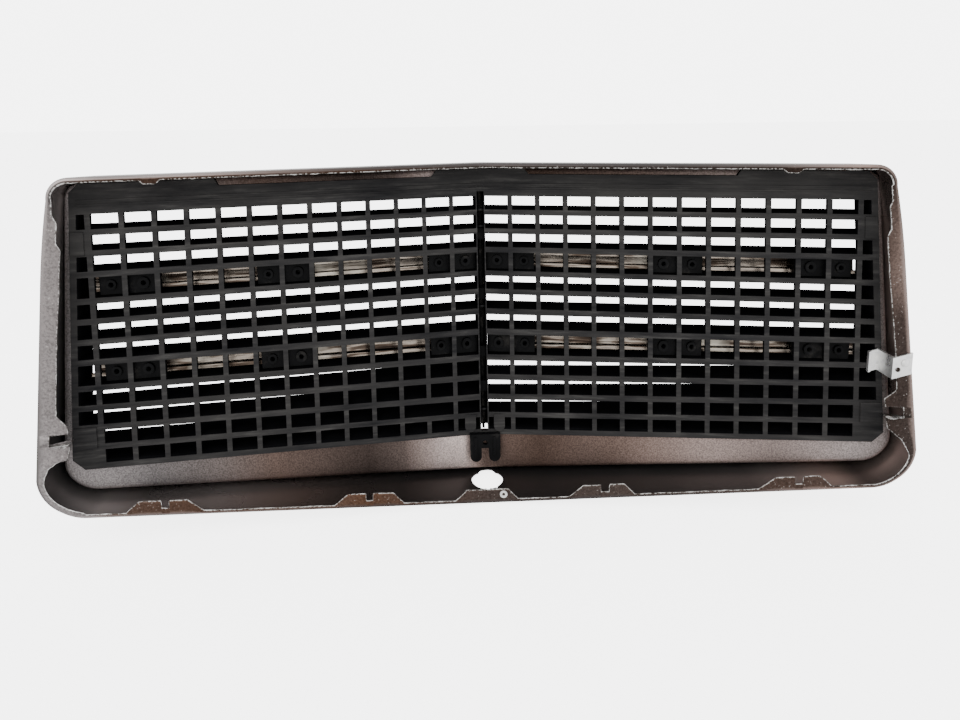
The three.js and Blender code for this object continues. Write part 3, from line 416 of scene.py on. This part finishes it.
def mixed(tree, factor, first, second, blend="MIX"):
    """Two colours, or sockets of colour, mixed by a factor."""
    node = tree.nodes.new("ShaderNodeMix")
    node.data_type = "RGBA"
    node.blend_type = blend
    for socket, value in ((node.inputs[0], factor), (node.inputs[6], first),
                          (node.inputs[7], second)):
        if isinstance(value, (int, float)):
            socket.default_value = value
        elif isinstance(value, tuple):
            socket.default_value = (*value, 1)
        else:
            tree.links.new(value, socket)
    return node.outputs[2]


def bump(tree, shader, height, strength, distance):
    """Small relief from a height."""
    node = tree.nodes.new("ShaderNodeBump")
    node.inputs["Strength"].default_value = strength
    node.inputs["Distance"].default_value = distance
    tree.links.new(height, node.inputs["Height"])
    tree.links.new(node.outputs["Normal"], shader.inputs["Normal"])


def own(tree, title):
    """A value stored on the piece's own points."""
    node = tree.nodes.new("ShaderNodeAttribute")
    node.attribute_name = title
    return node.outputs["Fac"]


def surround_finish():
    """The painted sheen's paleness and brownness, with a satin grain on the band and specks on the
    lip.
    """
    material, tree, shader = blank_material("satin surround steel")
    across = own(tree, "across")
    band = ramp(tree, across, (0.0, 1.0), (FOLD_START, 1.0), (FOLD_END, 0.0))
    lip_part = ramp(tree, across, (LIP_START, 0.0), (LIP_END, 1.0))
    stain = cloud(tree, place(tree, (1.0, 1.0, 2.2)), 6.0, 4.0)
    grain = cloud(tree, place(tree), 900.0, 2.0, 0.7)
    speck = cloud(tree, place(tree), 620.0, 2.0, 0.6)
    # the pale and brown marks paint the sheet's reflections and shade into its colour
    sheen_tint = mixed(tree, own(tree, "brown"), (1.0, 0.96, 0.97), (1.0, 0.52, 0.32))
    tone = mixed(tree, 1.0, sheen_tint, own(tree, "pale"), "MULTIPLY")
    tone = mixed(tree, 1.0, tone, ramp(tree, stain, (0.3, 0.72), (0.7, 1.0)), "MULTIPLY")
    grainy = mixed(tree, band, (1.0, 1.0, 1.0), ramp(tree, grain, (0.36, 0.5), (0.64, 1.0)))
    tone = mixed(tree, 1.0, tone, grainy, "MULTIPLY")
    specks = ramp(tree, speck, (0.36, 0.62), (0.56, 1.0))
    tone = mixed(tree, 1.0, tone, mixed(tree, lip_part, (1.0, 1.0, 1.0), specks), "MULTIPLY")
    # pale grey specks on the lip: painted glints
    lip_painted_glint = maths(tree, "MULTIPLY", lip_part, ramp(tree, speck, (0.66, 0.0), (0.72, 0.5)))
    tone = mixed(tree, lip_painted_glint, tone, (0.5, 0.48, 0.46))
    # pale grey specks close along the cut edge: a painted highlight
    edge = ramp(tree, maths(tree, "MULTIPLY", own(tree, "trim"), 0.5), (0.12, 0.8), (0.3, 0.0))
    edge = maths(tree, "MULTIPLY", edge, ramp(tree, speck, (0.46, 0.0), (0.54, 1.0)))
    tone = mixed(tree, edge, tone, (0.62, 0.61, 0.59))
    tree.links.new(tone, shader.inputs["Base Color"])
    rough = mixed(tree, band, ramp(tree, stain, (0.3, 0.24), (0.7, 0.36)),
                  ramp(tree, speck, (0.3, 0.40), (0.7, 0.52)))
    rough = mixed(tree, lip_part, rough, ramp(tree, speck, (0.3, 0.38), (0.7, 0.55)))
    tree.links.new(rough, shader.inputs["Roughness"])
    shader.inputs["Metallic"].default_value = 0.85
    shader.inputs["Specular IOR Level"].default_value = 0.1
    relief = maths(tree, "MULTIPLY", grain, maths(tree, "ADD", band, lip_part))
    relief = maths(tree, "ADD", relief, maths(tree, "MULTIPLY", stain, 0.25))
    bump(tree, shader, relief, 0.35, 0.0004)
    return material


surround = add_piece("surround", shell_mesh, surround_finish())
thickness = surround.modifiers.new("sheet", "SOLIDIFY")
thickness.thickness = SHEET * MM
thickness.offset = 0
thickness.use_even_offset = True
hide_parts("surround_shell")


# ---- Lip edge glint ----------------------------------------------------------
# A thin ragged tube along the rear lip's cut edge, coloured nearly white in places: a painted
# highlight for the glints on the edge, brightest at the corners and along the deep rim.

GLINT_TUBE_RADIUS = 0.32
GLINT_X = 285                                   # distances beyond which the corners begin
GLINT_Z = 60
GLINT_FADE = 20
DEEP_EDGE = 20                                 # height below which the edge is the deep rim's


def glint_tube(path, seed):
    """A ragged tube on a closed path: its radius is a sum of sines of the running length."""
    ahead = np.roll(path, -1, 0) - np.roll(path, 1, 0)
    ahead /= np.linalg.norm(ahead, axis=1, keepdims=True)
    side = np.cross(ahead, [0.0, 1.0, 0.0])
    side /= np.linalg.norm(side, axis=1, keepdims=True)
    rise = np.cross(side, ahead)
    run = np.cumsum(np.linalg.norm(np.roll(path, -1, 0) - path, axis=1))
    draw = np.random.default_rng(seed)
    wobble = np.zeros(run.size)
    for wave in (41.0, 17.0, 7.3, 3.1, 1.9):
        wobble += draw.uniform(0.4, 1.0) * np.sin(run / wave * math.tau + draw.uniform(0, 6))
    radius = GLINT_TUBE_RADIUS * (0.55 + 0.45 * np.clip(wobble / 1.6, -0.6, 1.4))
    angle = np.linspace(0, math.tau, 7)[:-1]
    ring = (np.cos(angle)[None, :, None] * side[:, None, :]
            + np.sin(angle)[None, :, None] * rise[:, None, :])
    return path[:, None, :] + ring * radius[:, None, None]


def resampled(path, step):
    """The closed path again at even steps of its length."""
    loop = np.vstack([path, path[:1]])
    run = np.concatenate([[0], np.cumsum(np.linalg.norm(np.diff(loop, axis=0), axis=1))])
    marks = np.linspace(0, run[-1], int(run[-1] / step))[:-1]
    return np.stack([np.interp(marks, run, loop[:, axis]) for axis in range(3)], 1)


glint_rings = glint_tube(resampled(lip, 1.3), 5)
glint_rings = np.concatenate([glint_rings, glint_rings[:, :1]], 1)
# the glint mark: painted highlight, strongest at the corners, then along the deep rim
past_x = np.abs(glint_rings[..., 0]) - GLINT_X
past_z = np.abs(glint_rings[..., 2] - MID_HEIGHT) - GLINT_Z
glint = np.clip(np.minimum(past_x, past_z) / GLINT_FADE, 0, 1)
glint = np.maximum(glint, np.where(glint_rings[..., 2] < DEEP_EDGE, 0.45, 0.2))
glint_mesh = grid_mesh("lip_edge_glint", glint_rings, marks={"glint": glint})


def glint_finish():
    """Painted highlight: nearly white where the noise and the glint mark run high, dark elsewhere.
    """
    material, tree, shader = blank_material("torn bright edge")
    speck = cloud(tree, place(tree), 180.0, 2.0)
    glint_level = maths(tree, "ADD", speck, maths(tree, "MULTIPLY", own(tree, "glint"), 0.3))
    tone = ramp(tree, glint_level, (0.56, (0.05, 0.042, 0.036)), (0.66, (0.42, 0.40, 0.38)),
                (0.78, (0.93, 0.92, 0.90)))
    tree.links.new(tone, shader.inputs["Base Color"])
    shader.inputs["Metallic"].default_value = 0.35
    shader.inputs["Roughness"].default_value = 0.45
    bump(tree, shader, speck, 0.4, 0.0003)
    return material


glint_piece = add_piece("lip_edge_glint", glint_mesh, glint_finish())


# ---- Grille insert -----------------------------------------------------------
# One injection moulding in black plastic: a lattice with a deep slat at every bar. Its rear
# face is scuffed and dusty, while the slats inside the cells are nearly black, which is painted
# shade.


def insert_finish():
    """Dust and painted shade by depth behind the V plane: grey dust on the rear face, painted shade
    on the slats.
    """
    material, tree, shader = blank_material("dusty black plastic")
    split = tree.nodes.new("ShaderNodeSeparateXYZ")
    tree.links.new(place(tree), split.inputs["Vector"])
    off = maths(tree, "ABSOLUTE", maths(tree, "SUBTRACT", split.outputs["X"], DATUM[0] * MM))
    plane = maths(tree, "SUBTRACT", maths(tree, "MULTIPLY", split.outputs["Z"], LEAN),
                  maths(tree, "MULTIPLY", off, SWEEP))
    depth = maths(tree, "SUBTRACT", split.outputs["Y"], plane)
    depth = maths(tree, "SUBTRACT", depth, float(DATUM[1] - LEAN * DATUM[2]) * MM)
    dust_and_shade = ramp(tree, maths(tree, "MULTIPLY", depth, 60.0), (0.01, 1.0), (0.05, 0.0))
    streak = cloud(tree, place(tree, (0.5, 1.0, 5.0)), 42.0, 4.0, 0.65)
    patch = cloud(tree, place(tree), 11.0, 3.0)
    dust = ramp(tree, streak, (0.3, (0.013, 0.013, 0.014)), (0.55, (0.029, 0.028, 0.028)),
                (0.75, (0.065, 0.063, 0.060)))
    dust = mixed(tree, ramp(tree, patch, (0.4, 0.0), (0.7, 0.55)), dust, (0.047, 0.045, 0.043))
    # almost black deep in the cells: painted shade
    deep_painted_shade = ramp(tree, streak, (0.3, (0.0016, 0.0016, 0.0019)), (0.7, (0.004, 0.004, 0.0045)))
    tree.links.new(mixed(tree, dust_and_shade, deep_painted_shade, dust), shader.inputs["Base Color"])
    tree.links.new(ramp(tree, patch, (0.3, 0.45), (0.7, 0.68)), shader.inputs["Roughness"])
    shader.inputs["Specular IOR Level"].default_value = 0.0
    fine = cloud(tree, place(tree), 700.0, 2.0)
    bump(tree, shader, maths(tree, "ADD", maths(tree, "MULTIPLY", fine, 0.4), streak), 0.25, 0.0003)
    return material


def refinish(node, material):
    """Gives a CAD node one material."""
    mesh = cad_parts[node].data
    mesh.materials.clear()
    mesh.materials.append(material)


refinish("grille_insert", insert_finish())


# ---- Cross mouldings and centre moulding ---------------------------------------
# Bright anodised strips, rolled to a shallow channel. From behind their hollow side shows, with
# long cream and brown streaks along it.


def moulding_finish():
    """Bright metal with cream and brown streaks that run along the strip."""
    material, tree, shader = blank_material("streaked bright strip")
    streak = cloud(tree, place(tree, (0.22, 0.6, 4.0)), 90.0, 3.0)
    patch = cloud(tree, place(tree), 24.0, 3.0)
    tone = ramp(tree, streak, (0.34, (0.024, 0.016, 0.012)), (0.46, (0.10, 0.072, 0.054)),
                (0.56, (0.44, 0.38, 0.32)), (0.7, (0.12, 0.10, 0.088)))
    tone = mixed(tree, ramp(tree, patch, (0.52, 0.0), (0.66, 0.6)), tone, (0.86, 0.80, 0.68))
    tree.links.new(tone, shader.inputs["Base Color"])
    tree.links.new(ramp(tree, patch, (0.3, 0.18), (0.7, 0.38)), shader.inputs["Roughness"])
    shader.inputs["Metallic"].default_value = 0.9
    bump(tree, shader, streak, 0.15, 0.0002)
    return material


bright_strip = moulding_finish()
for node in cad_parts:
    if node.startswith("moulding") and node != "moulding_centre":
        refinish(node, bright_strip)


def centre_finish():
    """The centre moulding's back: near-black as painted shade in the slot, small grey patches as
    painted glints.
    """
    material, tree, shader = blank_material("centre strip back in painted shade")
    patch = cloud(tree, place(tree), 70.0, 3.0)
    # near-black: painted shade in the slot; grey patches: painted glints
    tone = ramp(tree, patch, (0.5, (0.008, 0.008, 0.008)), (0.64, (0.04, 0.036, 0.032)),
                (0.72, (0.32, 0.28, 0.24)))
    tree.links.new(tone, shader.inputs["Base Color"])
    shader.inputs["Metallic"].default_value = 0.4
    shader.inputs["Roughness"].default_value = 0.5
    shader.inputs["Specular IOR Level"].default_value = 0.1
    return material


refinish("moulding_centre", centre_finish())


# ---- Clips ---------------------------------------------------------------------
# Small black mouldings that snap behind the bright strips, and the spring clip that ties the
# insert to the deep rim. They are less dusty than the insert and slightly glossy.


def clip_finish():
    """Near-black plastic with a faint sheen and a little grey wear."""
    material, tree, shader = blank_material("black clip plastic")
    wear = cloud(tree, place(tree), 60.0, 4.0, 0.6)
    tone = ramp(tree, wear, (0.35, (0.0015, 0.0015, 0.0017)), (0.6, (0.005, 0.005, 0.0054)),
                (0.75, (0.026, 0.024, 0.022)))
    shader.inputs["Specular IOR Level"].default_value = 0.06
    tree.links.new(tone, shader.inputs["Base Color"])
    tree.links.new(ramp(tree, wear, (0.3, 0.32), (0.7, 0.5)), shader.inputs["Roughness"])
    bump(tree, shader, wear, 0.2, 0.0003)
    return material


black_clip = clip_finish()
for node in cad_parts:
    if node.startswith(("clip_", "slot_clip", "centre_clip")):
        refinish(node, black_clip)


# ---- Strap, rivet and nut --------------------------------------------------------
# Zinc-plated steel: a folded strap riveted to the right lip, and a rivet nut pulled into the
# middle tab of the deep rim. The plating is bright with a fine spangle.


def zinc_finish():
    """Bright plate with a cellular spangle and dull white bloom."""
    material, tree, shader = blank_material("zinc plate")
    cells = tree.nodes.new("ShaderNodeTexVoronoi")
    cells.inputs["Scale"].default_value = 320.0
    tree.links.new(place(tree), cells.inputs["Vector"])
    bloom = cloud(tree, place(tree), 120.0, 3.0)
    tone = mixed(tree, ramp(tree, bloom, (0.45, 0.0), (0.65, 0.7)),
                 ramp(tree, cells.outputs["Distance"], (0.0, (0.60, 0.60, 0.61)),
                      (0.6, (0.80, 0.80, 0.79))), (0.90, 0.90, 0.87))
    tree.links.new(tone, shader.inputs["Base Color"])
    tree.links.new(ramp(tree, bloom, (0.3, 0.22), (0.7, 0.45)), shader.inputs["Roughness"])
    shader.inputs["Metallic"].default_value = 0.9
    bump(tree, shader, bloom, 0.2, 0.0002)
    return material


zinc = zinc_finish()
for node in ("side_strap", "strap_rivet", "tab_nut"):
    refinish(node, zinc)


# ---- Studio ----------------------------------------------------------------------
# A pale floor that the deep rim stands on, soft light from above and from both sides, and the
# camera behind the grille, a little above it.

FLOOR_REACH = 6.0
FLOOR_DROP = 0.0004
FLOOR_MARKS = 9
FLOOR_GLOW = 4.0


def studio_floor():
    """A flat square of a few metres, just below the rim, as pale as the backdrop."""
    edge = np.linspace(-FLOOR_REACH, FLOOR_REACH, FLOOR_MARKS)
    x, y = np.meshgrid(edge, edge, indexing="ij")
    points = np.stack([x, y, np.full_like(x, -FLOOR_DROP)], -1).reshape(-1, 3)
    cells = np.arange(FLOOR_MARKS - 1)
    first = (cells[:, None] * FLOOR_MARKS + cells).reshape(-1)
    quads = np.stack([first, first + FLOOR_MARKS, first + FLOOR_MARKS + 1, first + 1], 1)
    mesh = bpy.data.meshes.new("studio_floor")
    mesh.from_pydata(points.tolist(), [], quads.tolist())
    floor = bpy.data.objects.new("studio_floor", mesh)
    bpy.context.scene.collection.objects.link(floor)
    material, tree, shader = blank_material("pale floor")
    shader.inputs["Base Color"].default_value = (0.92, 0.92, 0.92, 1)
    shader.inputs["Roughness"].default_value = 0.9
    shader.inputs["Emission Color"].default_value = (1.0, 1.0, 1.0, 1)
    rays = tree.nodes.new("ShaderNodeLightPath")
    glow = maths(tree, "MULTIPLY", rays.outputs["Is Camera Ray"], FLOOR_GLOW)
    tree.links.new(glow, shader.inputs["Emission Strength"])
    mesh.materials.append(material)


studio_floor()

BACKDROP_LEVEL = 6.0
LIGHT_LEVEL = 1.6


def studio_world():
    """An even white tent: the backdrop behind the piece is lit more than the piece is."""
    world = bpy.data.worlds.new("studio")
    bpy.context.scene.world = world
    world.use_nodes = True
    tree = world.node_tree
    tent = tree.nodes["Background"]
    tent.inputs["Strength"].default_value = LIGHT_LEVEL
    backdrop = tree.nodes.new("ShaderNodeBackground")
    backdrop.inputs["Strength"].default_value = BACKDROP_LEVEL
    for node in (tent, backdrop):
        node.inputs["Color"].default_value = (1.0, 1.0, 1.0, 1)
    rays = tree.nodes.new("ShaderNodeLightPath")
    both = tree.nodes.new("ShaderNodeMixShader")
    tree.links.new(rays.outputs["Is Camera Ray"], both.inputs["Fac"])
    tree.links.new(tent.outputs["Background"], both.inputs[1])
    tree.links.new(backdrop.outputs["Background"], both.inputs[2])
    tree.links.new(both.outputs["Shader"], tree.nodes["World Output"].inputs["Surface"])


studio_world()


def soft_light(name, power, size, position, target):
    """A square soft box aimed at a point."""
    data = bpy.data.lights.new(name, "AREA")
    data.energy = power
    data.size = size
    light = bpy.data.objects.new(name, data)
    bpy.context.scene.collection.objects.link(light)
    start = np.array(position, float)
    back = start - np.array(target, float)
    back /= np.linalg.norm(back)
    right = np.cross([0, 0, 1], back)
    right /= np.linalg.norm(right)
    up = np.cross(back, right)
    light.matrix_world = Matrix([[*row, p] for row, p in zip(np.stack([right, up, back], 1),
                                                             start)] + [[0, 0, 0, 1]])


soft_light("key", 4.5, 0.7, (-0.6, -0.9, 1.1), (0, 0, 0.1))
soft_light("fill", 2.0, 0.9, (0.9, -0.7, 0.6), (0, 0, 0.1))

YAW = math.radians(-2.92)
PITCH = math.radians(-21.28)
ROLL = math.radians(0.61)
EYE = np.array([-31.2, -544.5, 283.1])
camera_data = bpy.data.cameras.new("camera")
camera_data.sensor_width = 36.0
camera_data.lens = 26.25
camera_data.clip_start = 0.01
camera = bpy.data.objects.new("camera", camera_data)
bpy.context.scene.collection.objects.link(camera)
turned = (
    Matrix.Rotation(YAW, 4, "Z")
    @ Matrix.Rotation(PITCH, 4, "X")
    @ Matrix.Rotation(ROLL, 4, "Y")
    @ Matrix.Rotation(math.pi / 2, 4, "X")
)
camera.matrix_world = Matrix.Translation(((EYE + DATUM) * MM).tolist()) @ turned
bpy.context.scene.camera = camera
